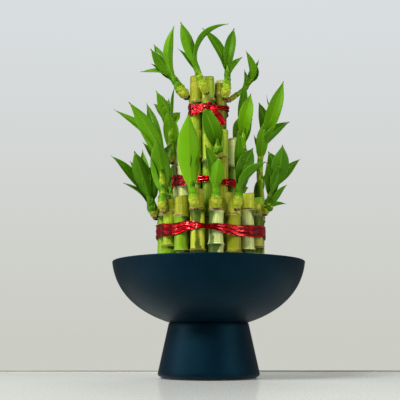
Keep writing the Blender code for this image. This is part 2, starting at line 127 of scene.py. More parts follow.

# Shoots: cane and side are where a shoot starts, and stem lists its middle and its end from there.
# A height is given where it isn't the tier's own. Each leaf is (share along the stem, reach to its tip,
# width, turn of its blade, tone from dark to bright), and one that arches has how much further it bows.
# A tone is partly the leaf's own green and partly painted light and shade, by how lit the leaf looks in its
# place.
SHOOTS = {
    "shoot_top_left": dict(
        cane=("inner", -1), side=-90, stem=[(-6.5, -2.5, 10), (-12, -3.5, 18)], radius=3.1,
        leaves=[(1, (3.5, -4, 38), 7.5, 15, 0.8), (1, (-15, -9, 17), 10, 20, 0.6),
                (0.95, (-14, 9, 28), 7, -20, 0.7), (0.75, (-26, 1, 5), 7, 60, 0.7),
                (0.9, (-16, -3, 8), 3.5, 30, 0.2)]),
    "shoot_top_front": dict(
        cane=("inner", 0), side=-15, stem=[(-5.5, -4.5, 12), (-9.5, -6, 24)],
        leaves=[(1, (-10, -8, 27), 9, 10, 0.5), (0.8, (-14, 5, 15), 5, 40, 0.5),
                (1, (27, -11, 24), 5.5, 50, 0.7, 1.75)]),
    "shoot_top_right": dict(
        cane=("inner", 1), side=25, height=218, stem=[(1.5, -2, 12), (1.5, -3, 24)],
        leaves=[(1, (-20, -5, 29), 8, 20, 0.5), (1, (6, 6, 33), 8.5, -15, 0.5),
                (0.85, (12, 2, 11), 5, 30, 0.6)]),
    "shoot_top_far_right": dict(
        cane=("inner", 1), side=85, height=217, stem=[(11, 2, 9), (19, 4, 20)], radius=1.5,
        leaves=[(1, (-6, -4, 21), 6, 20, 0.8), (0.95, (3, 5, 14), 8, -10, 0.2),
                (0.7, (-3, -3, 12), 4, 30, 0.5)]),
    "shoot_top_back": dict(
        cane=("inner", 3), side=180, stem=[(2, 4, 5), (4, 9, 8)],
        leaves=[(1, (10, 12, 5), 9, 190, 0.6), (1, (-12, 9, 3), 8, 170, 0.5),
                (0.85, (-3, 15, 0), 8, 180, 0.4), (0.7, (9, 9, -4), 6, 150, 0.5)]),
    "shoot_middle_right": dict(
        cane=("middle", 2), side=70, stem=[(0.5, -1.5, 12), (2, -3, 22)],
        leaves=[(1, (0.5, 4, 42), 7, 25, 0.5), (0.9, (5.5, -4, 30), 10, 0, 0.8),
                (0.6, (8, 3, 18), 5, 30, 0.5)]),
    "shoot_middle_left": dict(
        cane=("middle", -3), side=-60, stem=[(0.8, -2.5, 18), (-0.8, -4.5, 33)],
        leaves=[(1, (-10, -8, 20), 9.5, 10, 0.7), (0.95, (-13, 7, 15), 7, 0, 0.3),
                (1, (4, 3, 26), 5, 60, 0.3), (0.4, (-3, -9, 22), 10, 0, 0.8),
                (0.9, (8, 9, 10), 8, -10, 1.0), (0.75, (-6, -7, 16), 8, 10, 0.7)]),
    "shoot_middle_front": dict(
        cane=("middle", 1), side=-20, stem=[(-1, -2.5, 6), (-2, -4, 10)],
        leaves=[(0.6, (-10.5, -6, 28), 12, 0, 0.55), (0.9, (3, -3, 14), 7, 20, 0.6)]),
    "shoot_lower_right_tall": dict(
        cane=("outer", 5), side=100, height=126, stem=[(-3, -7, 38), (1, -12, 60)],
        leaves=[(1, (15, -6, 47), 10.8, 10, 0.7), (1, (-4, 6, 33), 9, -20, 0.1),
                (0.92, (21, -3, 17), 8, 25, 0.4), (0.95, (10, 11, 27), 9, -10, 0.5),
                (1, (2, 2, 38), 3, 50, 0.4), (0.7, (3, -6, 26), 9, 10, 0.8),
                (0.6, (-5, 0, 22), 5, 40, 0.5)]),
    "shoot_lower_left_tall": dict(
        cane=("outer", -3), side=-40, stem=[(0, 1, 20), (-1.5, 4, 40)], radius=2.6,
        leaves=[(1, (-38, 6, 41), 7.5, 30, 0.6), (1, (-25, -4, 44), 12, 10, 0.6),
                (0.95, (-13, 16, 51), 9, -10, 0.3), (0.9, (8, 7, 18), 7, 20, 0.1),
                (0.95, (-6, 4, 30), 3, 50, 0.2), (0.6, (-16, 4, 30), 8, 20, 0.2),
                (0.45, (-5, -6, 36), 14, 5, 0.7)]),
    "shoot_lower_left": dict(
        cane=("outer", -4), side=-70, height=124, stem=[(-2, -2.5, 9), (-5, -5, 16)],
        leaves=[(1, (-28, -6, 28), 8.5, 25, 0.5), (1, (-9, -13, 30), 12, 0, 0.4),
                (1, (-4, 4, 35), 7, 20, 0.6), (0.7, (-20, -5, 11), 5, 50, 0.4),
                (0.8, (6, -6, 18), 11, -10, 0.0), (0.9, (-14, -2, 26), 7, 15, 0.3),
                (0.7, (1, 2, 27), 9, 0, 0.2)]),
    "shoot_lower_front_left": dict(
        cane=("outer", -1), side=-15, stem=[(-2, -1, 12), (-3.5, -2, 23)],
        leaves=[(0.8, (-1.5, -12, 48), 15.5, 0, 1.0), (1, (8, 5, 20), 6, 10, 0.2),
                (1, (4, 6, 34), 5, 30, 0.1)]),
    "shoot_lower_front": dict(
        cane=("outer", 0), side=5, stem=[(-1, -1, 11), (-1, -2, 19)],
        leaves=[(1, (-8, -1, 26), 10, 15, 0.4), (0.9, (3, -6, 17), 10, 0, 0.7)]),
    "shoot_lower_front_right": dict(
        cane=("outer", 1), side=20, stem=[(0.6, -1, 11), (2, -2, 20)],
        leaves=[(1, (-1.5, 2, 38), 7, 20, 0.6), (1, (10, 6, 25), 11, 0, 0.0),
                (0.9, (19, -4, 14), 8, 40, 0.4)]),
    "shoot_lower_right": dict(
        cane=("outer", 3), side=75, stem=[(4, -3, 13), (8, -5, 23)],
        leaves=[(1, (4, -6, 27), 12.5, 0, 0.2), (1, (-6, 7, 25), 11, -10, 0.3),
                (0.95, (19, 2, 19), 8, 30, 0.5), (0.4, (12, -6, 9), 5, 40, 0.4),
                (0.7, (4, -8, 18), 7, 20, 0.1), (0.3, (13, 2, -2), 4, 60, 0.3),
                (0.6, (-5, -4, 22), 9, 5, 0.1)]),
    "shoot_lower_back_left": dict(
        cane=("outer", -7), side=-148, stem=[(-3, 3, 14), (-6, 7, 27)],
        leaves=[(1, (-14, 8, 30), 10, 200, 0.5), (1, (8, 6, 33), 9, 160, 0.6),
                (0.8, (-6, 20, 12), 8, 150, 0.4), (0.5, (6, 10, 26), 11, 180, 0.8)]),
    "shoot_lower_back_right": dict(
        cane=("outer", 7), side=154, stem=[(2, 3, 15), (5, 6, 29)],
        leaves=[(1, (13, 6, 31), 10, 190, 0.5), (1, (-9, 5, 36), 9, 170, 0.4),
                (0.8, (10, 18, 10), 8, 210, 0.6), (0.5, (-5, 9, 28), 12, 180, 0.9)]),
}

# Shoots on the hidden sides that the CAD model leaves out
MORE_SHOOTS = {
    "shoot_extra_middle_back": dict(
        cane=("middle", 6), side=170, stem=[(1, 3, 13), (2, 6, 26)],
        leaves=[(1, (-12, 8, 26), 10, 170, 0.6), (1, (9, 6, 30), 9, 190, 0.5),
                (0.7, (2, 10, 20), 9, 180, 0.8)]),
    "shoot_extra_middle_left": dict(
        cane=("middle", -5), side=-120, stem=[(-2, 3, 12), (-4, 5, 22)],
        leaves=[(1, (-12, 3, 24), 9, 230, 0.5), (0.9, (-3, 9, 27), 9, 170, 0.7)]),
    "shoot_extra_middle_right": dict(
        cane=("middle", 5), side=125, stem=[(2, 3, 12), (4, 5, 23)],
        leaves=[(1, (12, 4, 22), 9, 130, 0.5), (0.9, (4, 8, 28), 9, 190, 0.7)]),
    "shoot_extra_lower_back": dict(
        cane=("outer", 9), side=-178, stem=[(-1, 4, 12), (-1, 7, 24)],
        leaves=[(1, (-8, 7, 33), 11, 180, 0.7), (1, (10, 6, 24), 9, 190, 0.4),
                (0.7, (1, 13, 18), 9, 180, 0.9)]),
    "shoot_extra_lower_left": dict(
        cane=("outer", -5), side=-100, stem=[(-3, 1, 12), (-6, 2, 22)],
        leaves=[(1, (-12, 6, 28), 10, 250, 0.4), (0.9, (-4, 11, 24), 8, 200, 0.6)]),
    "shoot_extra_lower_right": dict(
        cane=("outer", 6), side=125, stem=[(3, 2, 12), (6, 4, 22)],
        leaves=[(1, (12, 7, 26), 10, 120, 0.5), (0.9, (5, 12, 20), 8, 160, 0.7)]),
}


# --- Helpers -------------------------------------------------------------------------------------


def smooth(x):
    x = np.clip(x, 0.0, 1.0)
    return x * x * (3.0 - 2.0 * x)


def unit(vectors):
    return vectors / np.linalg.norm(vectors, axis=-1, keepdims=True)


def dots(a, b):
    return (a * b).sum(-1, keepdims=True)


def heading(angle):
    """The level direction at this many degrees round from the front."""
    return np.array((sin(radians(angle)), -cos(radians(angle)), 0.0))


def circle(count):
    """Angles of this many points evenly round a circle, in a row."""
    return np.linspace(0.0, 2.0 * pi, count, endpoint=False)[None, :]


def column(low, high, count):
    """Evenly spaced numbers, one for each station of a loft."""
    return np.linspace(low, high, count)[:, None]


def peak(distance, width):
    """1 at no distance, falling smoothly away to nothing well past this width."""
    return np.exp(-(distance / width) ** 2)


def there_and_back(face, back):
    """Points across a strip's face, then back across its other face."""
    return np.concatenate([face, back[:, ::-1]], axis=1)


def follow(at, knots, points):
    """Points at these places along a run of points, from the place of each one."""
    points = np.asarray(points)
    return np.stack([np.interp(at, knots, points[:, k]) for k in range(3)], axis=-1)


def varied(seed, amount):
    """The CAD model's repeatable, uneven value between -amount and amount."""
    return amount * sin(12.9898 * seed + 4.1)


def seeded(*numbers):
    return np.random.default_rng([int(n) for n in numbers])


def blend(a, b, share):
    return np.asarray(a) * (1.0 - share) + np.asarray(b) * share


def add_object(name, data):
    obj = bpy.data.objects.new(name, data)
    bpy.context.scene.collection.objects.link(obj)
    return obj


NUMBERS = ("along", "across", "deep", "mark", "cut")


class Skin:
    """One piece's mesh, gathered loft by loft, with the values that its materials read."""

    def __init__(self):
        self.points, self.faces, self.looks, self.tints = [], [], [], []
        self.values = {name: [] for name in NUMBERS}
        self.size = 0

    def add(self, points, faces, look=0, tint=(0.5, 0.5, 0.5), **values):
        count = len(points)
        self.points.append(points)
        self.faces += [tuple(int(i) + self.size for i in face) for face in faces]
        self.looks += [look] * len(faces)
        self.tints.append(np.broadcast_to(np.asarray(tint, float), (count, 3)))
        for name in NUMBERS:
            value = np.asarray(values.get(name, 0.0), float)
            self.values[name].append(np.broadcast_to(value, (count,)))
        self.size += count

    def loft(self, rings, look=0, endless=False, tint=(0.5, 0.5, 0.5), **values):
        """A closed skin through rings of points, (stations, sides, 3). A value is one number, or one
        for each station as (stations, 1), or one for each point."""
        stations, sides = rings.shape[:2]
        index = np.arange(stations * sides).reshape(stations, sides)
        near, far = index, np.roll(index, -1, axis=0)
        if not endless:
            near, far = index[:-1], index[1:]
        quads = np.stack([near, np.roll(near, -1, 1), np.roll(far, -1, 1), far], axis=-1).reshape(-1, 4)
        faces = [tuple(quad) for quad in quads]
        if not endless:
            faces += [tuple(index[0]), tuple(index[-1])]
        tint = np.asarray(tint, float)
        if tint.ndim > 1:
            tint = np.broadcast_to(tint, (stations, sides, 3)).reshape(-1, 3)
        spread = {name: np.broadcast_to(np.asarray(value, float), (stations, sides)).ravel()
                  for name, value in values.items()}
        self.add(rings.reshape(-1, 3), faces, look, tint, **spread)

    def piece(self, name, looks, nodes=(), creases=None):
        mesh = bpy.data.meshes.new(name)
        points = np.concatenate(self.points) * MM
        mesh.from_pydata(points, [], self.faces)
        mesh.polygons.foreach_set("material_index", self.looks)
        mesh.polygons.foreach_set("use_smooth", [True] * len(self.faces))
        skin = bmesh.new()
        skin.from_mesh(mesh)
        bmesh.ops.recalc_face_normals(skin, faces=skin.faces)
        skin.to_mesh(mesh)
        skin.free()
        for number, values in self.values.items():
            mesh.attributes.new(number, "FLOAT", "POINT").data.foreach_set(
                "value", np.concatenate(values).astype(np.float32))
        tints = np.ones((self.size, 4), np.float32)
        tints[:, :3] = np.concatenate(self.tints)
        mesh.attributes.new("tint", "FLOAT_COLOR", "POINT").data.foreach_set("color", tints.ravel())
        for look in looks:
            mesh.materials.append(look)
        if creases:
            mesh.set_sharp_from_angle(angle=radians(creases))
        obj = add_object(name, mesh)
        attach(obj, "root")
        if nodes:
            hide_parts(*nodes)
        return obj


def turned_rings(profile, sides, centre=(0.0, 0.0)):
    """Rings of points for a profile of (radius, height) turned about a vertical axis."""
    profile = np.asarray(profile, float)
    angle = circle(sides)
    rings = np.empty((len(profile), sides, 3))
    rings[..., 0] = centre[0] + profile[:, :1] * np.sin(angle)
    rings[..., 1] = centre[1] - profile[:, :1] * np.cos(angle)
    rings[..., 2] = profile[:, 1:]
    return rings


# --- Materials -----------------------------------------------------------------------------------


class Look:
    """A procedural material. Each method adds a node and gives the socket to read."""

    def __init__(self, name, **fixed):
        self.material = bpy.data.materials.new(name)
        self.material.use_nodes = True
        self.tree = self.material.node_tree
        self.shader = self.tree.nodes["Principled BSDF"]
        for socket, value in fixed.items():
            self.feed(self.shader.inputs[socket.replace("_", " ")], value)

    def feed(self, socket, value):
        if isinstance(value, bpy.types.NodeSocket):
            self.tree.links.new(value, socket)
        elif isinstance(value, tuple) and socket.type == "RGBA":
            socket.default_value = (*value, 1.0)
        else:
            socket.default_value = value

    def value(self, name, output="Fac"):
        node = self.tree.nodes.new("ShaderNodeAttribute")
        node.attribute_name = name
        return node.outputs[output]

    def tint(self):
        return self.value("tint", "Color")

    def texture(self, kind, scale):
        """A texture with this many features a metre, or this many along X, Y and Z."""
        mapping = self.tree.nodes.new("ShaderNodeMapping")
        mapping.inputs["Scale"].default_value = np.broadcast_to(scale, 3)
        self.feed(mapping.inputs["Vector"], self.tree.nodes.new("ShaderNodeTexCoord").outputs["Object"])
        node = self.tree.nodes.new(kind)
        self.feed(node.inputs["Vector"], mapping.outputs["Vector"])
        node.inputs["Scale"].default_value = 1.0
        return node

    def noise(self, scale, detail=3.0, roughness=0.55, distortion=0.0):
        node = self.texture("ShaderNodeTexNoise", scale)
        for socket, value in (("Detail", detail), ("Roughness", roughness), ("Distortion", distortion)):
            node.inputs[socket].default_value = value
        return node.outputs["Fac"]

    def maths(self, operation, first, second=0.0):
        node = self.tree.nodes.new("ShaderNodeMath")
        node.operation = operation
        self.feed(node.inputs[0], first)
        self.feed(node.inputs[1], second)
        return node.outputs[0]

    def plus(self, first, second):
        return self.maths("ADD", first, second)

    def times(self, first, second):
        return self.maths("MULTIPLY", first, second)

    def span(self, value, low, high, to_low=0.0, to_high=1.0):
        """value from low to high, smoothly made to_low to to_high."""
        node = self.tree.nodes.new("ShaderNodeMapRange")
        node.interpolation_type = "SMOOTHSTEP"
        for socket, number in zip(("Value", "From Min", "From Max", "To Min", "To Max"),
                                  (value, low, high, to_low, to_high)):
            self.feed(node.inputs[socket], number)
        return node.outputs["Result"]

    def mix(self, share, first, second):
        node = self.tree.nodes.new("ShaderNodeMix")
        node.data_type = "RGBA"
        for index, value in ((0, share), (6, first), (7, second)):
            self.feed(node.inputs[index], value)
        return node.outputs[2]

    def layered(self, colour, *layers):
        """A colour with (share, colour) layers laid over it, the first one lowest."""
        for share, layer in layers:
            colour = self.mix(share, colour, layer)
        return colour

    def bump(self, *layers):
        """Bumps from (height, depth in millimetres) layers, the broadest first."""
        normal = None
        for height, depth in layers:
            node = self.tree.nodes.new("ShaderNodeBump")
            node.inputs["Distance"].default_value = depth * MM
            self.feed(node.inputs["Height"], height)
            if normal:
                self.feed(node.inputs["Normal"], normal)
            normal = node.outputs["Normal"]
        self.feed(self.shader.inputs["Normal"], normal)

    def done(self, colour, roughness):
        self.feed(self.shader.inputs["Base Color"], colour)
        self.feed(self.shader.inputs["Roughness"], roughness)
        return self.material


def rind_look():
    """Cane rind: waxy, streaked along the cane, with deep green patches, brown scars and pale cut ends."""
    look = Look("cane_rind", Specular_IOR_Level=0.3, Specular_Tint=(1.0, 0.95, 0.3))
    streaks = look.noise((900.0, 900.0, 45.0), 4.0)
    patches = look.noise((150.0, 150.0, 60.0), 4.0, 0.6, 0.6)
    specks = look.noise((1500.0, 1500.0, 900.0), 2.0)
    fibres = look.texture("ShaderNodeTexVoronoi", (1500.0, 1500.0, 300.0)).outputs["Distance"]
    deep = look.span(look.plus(look.value("deep"), look.plus(patches, -0.5)), 0.40, 0.60)
    scar = look.span(look.plus(look.value("mark"), look.times(look.plus(streaks, -0.5), 0.9)), 0.35, 0.7)
    waxy = look.mix(0.14, look.tint(), (0.50, 0.50, 0.08))
    bark = look.mix(specks, (0.035, 0.014, 0.005), (0.22, 0.12, 0.04))
    cut = look.mix(look.span(fibres, 0.1, 0.45), (0.20, 0.15, 0.06), (0.62, 0.58, 0.34))
    colour = look.layered(
        look.tint(),
        (look.span(streaks, 0.35, 0.7), waxy),
        (look.span(streaks, 0.62, 0.42, 0.0, 0.30), (0.07, 0.14, 0.003)),
        (look.times(deep, 0.92), DEEP),
        (look.span(patches, 0.60, 0.74, 0.0, 0.35), (0.46, 0.50, 0.20)),
        (look.span(specks, 0.66, 0.74, 0.0, 0.5), (0.10, 0.07, 0.015)),
        (scar, bark),
        (look.value("cut"), cut))
    look.bump((patches, 0.15), (streaks, 0.12), (scar, 0.1))
    return look.done(colour, look.span(look.plus(streaks, look.value("mark")), 0.3, 1.2, 0.3, 0.75))


def leaf_look():
    """Leaf blade and sheath: parallel veins, a paler midrib and sheath, and a dried tip."""
    look = Look("leaf_blade", Specular_IOR_Level=0.2, Specular_Tint=(0.5, 1.0, 0.12), Subsurface_Weight=0.12,
                Subsurface_Radius=(0.6, 0.9, 0.1), Subsurface_Scale=0.001)
    from_rib = look.maths("ABSOLUTE", look.value("across"))
    cloud = look.noise((70.0, 70.0, 40.0), 3.0)
    fine = look.noise((1400.0, 1400.0, 500.0), 2.0)
    veins = look.maths("SINE", look.times(look.value("across"), 40.0))
    veins = look.plus(look.times(veins, 0.5), 0.5)
    low = look.plus(look.value("along"), look.times(cloud, 0.3))
    dry = look.plus(look.value("mark"), look.times(look.plus(fine, -0.5), 0.5))
    colour = look.layered(
        look.tint(),
        (look.span(cloud, 0.3, 0.7, 0.0, 0.25), (0.060, 0.18, 0.001)),
        (look.times(veins, 0.07), (0.15, 0.32, 0.004)),
        (look.span(from_rib, 0.10, 0.02, 0.0, 0.30), (0.17, 0.36, 0.012)),
        (look.span(from_rib, 0.90, 0.99, 0.0, 0.30), (0.18, 0.38, 0.015)),
        (look.times(look.value("deep"), 0.18), (0.09, 0.26, 0.015)),
        (look.span(low, 0.05, -0.85, 0.0, 0.9), (0.27, 0.37, 0.018)),
        (look.span(dry, 0.18, 0.5), (0.26, 0.28, 0.020)),
        (look.span(dry, 0.40, 0.70), (0.012, 0.018, 0.008)))
    look.bump((veins, 0.022), (fine, 0.008))
    return look.done(colour, look.span(cloud, 0.3, 0.7, 0.34, 0.48))


def stem_look():
    """Young stem: pale and ringed at its foot, green above, with fine specks."""
    look = Look("shoot_stem", Specular_IOR_Level=0.22, Specular_Tint=(0.8, 1.0, 0.35), Subsurface_Weight=0.12,
                Subsurface_Radius=(0.6, 0.8, 0.1), Subsurface_Scale=0.0012)
    mottle = look.noise((350.0, 350.0, 220.0), 4.0, 0.6)
    specks = look.noise(1300.0, 2.0)
    colour = look.layered(
        look.tint(),
        (look.span(mottle, 0.35, 0.65, 0.0, 0.5), (0.13, 0.22, 0.004)),
        (look.span(specks, 0.62, 0.72, 0.0, 0.5), (0.09, 0.09, 0.006)),
        (look.times(look.value("mark"), look.span(mottle, 0.3, 0.6, 0.5, 1.0)), (0.13, 0.085, 0.012)))
    look.bump((mottle, 0.25), (specks, 0.06))
    return look.done(colour, look.span(specks, 0.3, 0.7, 0.38, 0.52))


def husk_look():
    """Dried husk: papery, fibrous and torn."""
    look = Look("dry_husk")
    fibre = look.noise((1500.0, 1500.0, 160.0), 5.0, 0.65)
    colour = look.layered(
        (0.055, 0.022, 0.008),
        (look.span(fibre, 0.32, 0.66), (0.42, 0.26, 0.12)),
        (look.span(look.noise(300.0), 0.4, 0.65, 0.0, 0.6), (0.26, 0.17, 0.07)))
    look.bump((fibre, 0.35))
    return look.done(colour, look.span(fibre, 0.3, 0.7, 0.62, 0.9))


def foil_look():
    """Ribbon: thin crimson foil, creased along its length, with painted shade that makes it near black inside
    the creases.
    """
    look = Look("ribbon_foil", Metallic=0.9, Coat_Weight=0.4, Coat_Roughness=0.08,
                Specular_Tint=(0.9, 0.1, 0.15))
    wrinkles = look.noise((160.0, 160.0, 1100.0), 2.5, 0.5, 0.8)
    fine = look.noise((1800.0, 1800.0, 2600.0), 2.0)
    colour = look.layered(
        (0.24, 0.0005, 0.002),
        (look.span(wrinkles, 0.35, 0.65), (0.60, 0.003, 0.008)),
        # painted shade: deep, high in the hollows of the creases, turns the foil near black there
        (look.times(look.value("deep"), 0.92), (0.022, 0.0002, 0.002)))
    look.bump((wrinkles, 0.2), (fine, 0.02))
    return look.done(colour, look.span(fine, 0.3, 0.7, 0.20, 0.32))


def coat_look():
    """Bowl and foot: near-black teal powder coat, with a fine pebbled grain and soft mottling."""
    look = Look("powder_coat", Specular_IOR_Level=0.13, Specular_Tint=(0.10, 0.66, 1.0))
    mottle = look.noise(60.0, 5.0, 0.65)
    grain = look.noise(1500.0)
    flecks = look.noise(3200.0, 1.0)
    colour = look.layered(
        (0.0004, 0.0030, 0.0060),
        (look.span(mottle, 0.35, 0.65), (0.0007, 0.0050, 0.0098)),
        (look.span(flecks, 0.60, 0.72, 0.0, 0.35), (0.003, 0.017, 0.032)))
    look.bump((mottle, 0.06), (grain, 0.05))
    return look.done(colour, look.span(grain, 0.3, 0.7, 0.42, 0.56))


def felt_look():
    """Pad under the foot: dark matt felt."""
    look = Look("felt_pad", Sheen_Weight=0.4)
    fuzz = look.noise(2600.0, 4.0)
    look.bump((fuzz, 0.2))
    colour = look.mix(fuzz, (0.006, 0.006, 0.007), (0.030, 0.030, 0.032))
    return look.done(colour, look.span(fuzz, 0.3, 0.7, 0.85, 1.0))


def pebble_look():
    """Washed river pebbles: each its own stone, with faint banding and grain."""
    look = Look("pebble_stone", Coat_Weight=0.2, Coat_Roughness=0.2)
    bands = look.noise(220.0, 5.0, 0.6, 1.2)
    grain = look.noise(1700.0)
    colour = look.layered(
        look.tint(),
        (look.span(bands, 0.35, 0.68), look.mix(0.45, look.tint(), (0.70, 0.66, 0.58))),
        (look.span(grain, 0.58, 0.70, 0.0, 0.5), (0.13, 0.11, 0.09)))
    look.bump((bands, 0.15), (grain, 0.06))
    return look.done(colour, look.span(grain, 0.3, 0.7, 0.32, 0.55))


RIND, BLADE, STEM, HUSK = rind_look(), leaf_look(), stem_look(), husk_look()
FOIL, COAT, FELT, STONE = foil_look(), coat_look(), felt_look(), pebble_look()
SHOOT_LOOKS = (BLADE, STEM, HUSK)
LEAF, SHANK, DRY = range(3)


# --- Bowl, foot and pebbles ----------------------------------------------------------------------


def bowl_height(radius, wall=0.0):
    """Height of the bowl's outside at a radius, or of its inside when given the wall."""
    share = radius / (CURVE_RADIUS - wall)
    return CURVE_HEIGHT - (CURVE_DEPTH - wall) * (1.0 - share**POWER_ACROSS) ** (1.0 / POWER_DOWN)


def inside_radius(height):
    share = (CURVE_HEIGHT - height) / (CURVE_DEPTH - BOWL_WALL)
    return (CURVE_RADIUS - BOWL_WALL) * (1.0 - share**POWER_DOWN) ** (1.0 / POWER_ACROSS)


def make_bowl():
    inner_rim = inside_radius(RIM_HEIGHT)
    inside = [inner_rim * sin(radians(angle)) for angle in np.linspace(0.6, 90.0, 40)]
    outside = [RIM_RADIUS * sin(radians(angle)) for angle in np.linspace(90.0, 0.6, 60)]
    half = (RIM_RADIUS - inner_rim) / 2
    lip = [(RIM_RADIUS - half - half * cos(turn), RIM_HEIGHT + LIP_HEIGHT * sin(turn))
           for turn in np.linspace(0.15, pi - 0.15, 9)]
    profile = [(radius, bowl_height(radius, BOWL_WALL)) for radius in inside] + lip
    profile += [(radius, bowl_height(radius)) for radius in outside]
    skin = Skin()
    skin.loft(turned_rings(profile, 160))
    skin.piece("bowl_shell", [COAT], ["bowl"])


def make_foot():
    inner_top = FOOT_TOP_RADIUS - BOWL_WALL
    pad_top = PAD_HEIGHT + GAP
    top = bowl_height(FOOT_TOP_RADIUS) - GAP
    side = [(blend(FOOT_TOP_RADIUS, FOOT_BASE_RADIUS, share), blend(top - 0.6, pad_top + FOOT_BEVEL, share))
            for share in np.linspace(0.0, 1.0, 16)]
    bevel = [(FOOT_BASE_RADIUS - FOOT_BEVEL * (1.0 - cos(turn)), pad_top + FOOT_BEVEL * (1.0 - sin(turn)))
             for turn in np.linspace(0.2, pi / 2, 7)]
    bore = [(FOOT_BASE_RADIUS - 2 * FOOT_BEVEL, pad_top),
            (FOOT_BASE_RADIUS - 2.2 * FOOT_BEVEL, pad_top + 0.8),
            (inner_top, bowl_height(inner_top) - GAP)]
    skin = Skin()
    skin.loft(turned_rings([(FOOT_TOP_RADIUS - 0.5, top)] + side + bevel + bore, 128), endless=True)
    skin.piece("foot_shell", [COAT], ["pedestal_foot"], creases=50)
    pad = Skin()
    radius = FOOT_BASE_RADIUS - FOOT_BEVEL - GAP
    pad.loft(turned_rings([(0.5, PAD_HEIGHT), (radius - 0.5, PAD_HEIGHT), (radius, PAD_HEIGHT - 0.3),
                           (radius, 0.2), (radius - 0.3, 0.0), (0.5, 0.0)], 96))
    pad.piece("felt_pad", [FELT], ["base_pad"], creases=50)


STONE_TINTS = ((0.52, 0.48, 0.40), (0.40, 0.38, 0.35), (0.62, 0.59, 0.52), (0.34, 0.27, 0.20),
               (0.25, 0.25, 0.25), (0.55, 0.44, 0.32))
PEBBLE_LAYER = 4.2
PEBBLE_SEED = 75
# Layer down from the top, radius of the ring and how many pebbles lie in it
PEBBLE_RINGS = ((0, 49.4, 35), (0, 56.6, 41), (0, 63.4, 46), (1, 52.5, 38), (1, 60.0, 44))


def make_pebbles():
    """Two layers of single pebbles, on a bed that goes down to the bowl's floor."""
    ball = bmesh.new()
    bmesh.ops.create_icosphere(ball, subdivisions=3, radius=1.0)
    round_stone = np.array([vert.co for vert in ball.verts])
    faces = [tuple(vert.index for vert in face.verts) for face in ball.faces]
    ball.free()
    rng = seeded(PEBBLE_SEED)
    skin = Skin()
    for layer, ring, count in PEBBLE_RINGS:
        for index in range(count):
            size = rng.uniform((3.7, 3.0, 2.2), (4.4, 3.9, 2.9))
            waves = rng.normal(0.0, 1.6, (3, 3))
            shifts = rng.uniform(0, 6, 3)
            ripple = sum(0.05 * np.sin(round_stone @ wave + shift) for wave, shift in zip(waves, shifts))
            stone = round_stone * (1.0 + ripple[:, None]) * size
            spin, tip = rng.uniform(0.0, 2.0 * pi), rng.normal(0.0, 0.16)
            stone = stone @ np.array([[cos(spin), -sin(spin), 0], [sin(spin), cos(spin), 0], [0, 0, 1]])
            stone = stone @ np.array([[cos(tip), 0, sin(tip)], [0, 1, 0], [-sin(tip), 0, cos(tip)]])
            angle = (index + rng.uniform(-0.12, 0.12) + 0.5 * layer) * 360.0 / count
            place = heading(angle) * (ring + rng.uniform(-0.5, 0.5))
            place[2] = PEBBLE_LEVEL - 2.6 - PEBBLE_LAYER * layer + rng.uniform(-0.5, 0.7)
            shade = STONE_TINTS[rng.integers(len(STONE_TINTS))]
            skin.add(stone + place, faces, tint=np.array(shade) * rng.uniform(0.8, 1.12))
    wall = BOWL_WALL + 2 * GAP
    bed_top = PEBBLE_LEVEL - 6.0
    edge = inside_radius(bed_top) - 3 * GAP
    well_floor = CANE_FLOOR - GAP
    floor = [(0.5, well_floor), (WELL_RADIUS, well_floor), (WELL_RADIUS, bed_top - 2.0),
             (WELL_RADIUS + 2.0, bed_top)]
    floor += [(radius, bed_top) for radius in np.linspace(WELL_RADIUS + 4.0, edge, 8)]
    under = edge * np.cos(np.radians(np.linspace(12, 89.3, 16)))
    floor += [(radius, bowl_height(radius, wall)) for radius in under]
    rings = turned_rings(floor, 96)
    bumps = np.sin(rings[..., 0] * 1.1) * np.sin(rings[..., 1] * 1.2)
    rings[2:12, :, 2] += 0.6 * bumps[2:12]
    skin.loft(rings, tint=STONE_TINTS[1])
    skin.piece("pebble_filling", [STONE], ["pebble_bed"])


# --- Canes ---------------------------------------------------------------------------------------


CANE_SIDES = 32


def cane_centre(tier, index):
    ring = TIERS[tier]
    angle = ring["first"] + 360.0 / ring["count"] * index
    return np.array((ring["centre"], 0.0, 0.0)) + ring["ring"] * heading(angle)


def node_shape(distance):
    """How a node changes a cane's radius, by the height over it: a swelling, a lip and a groove."""
    swelling = 1.6 * NODE_SWELL * peak(distance, 1.5)
    return swelling - 0.32 * peak(distance - 1.0, 0.32) + 0.16 * peak(distance, 0.35)


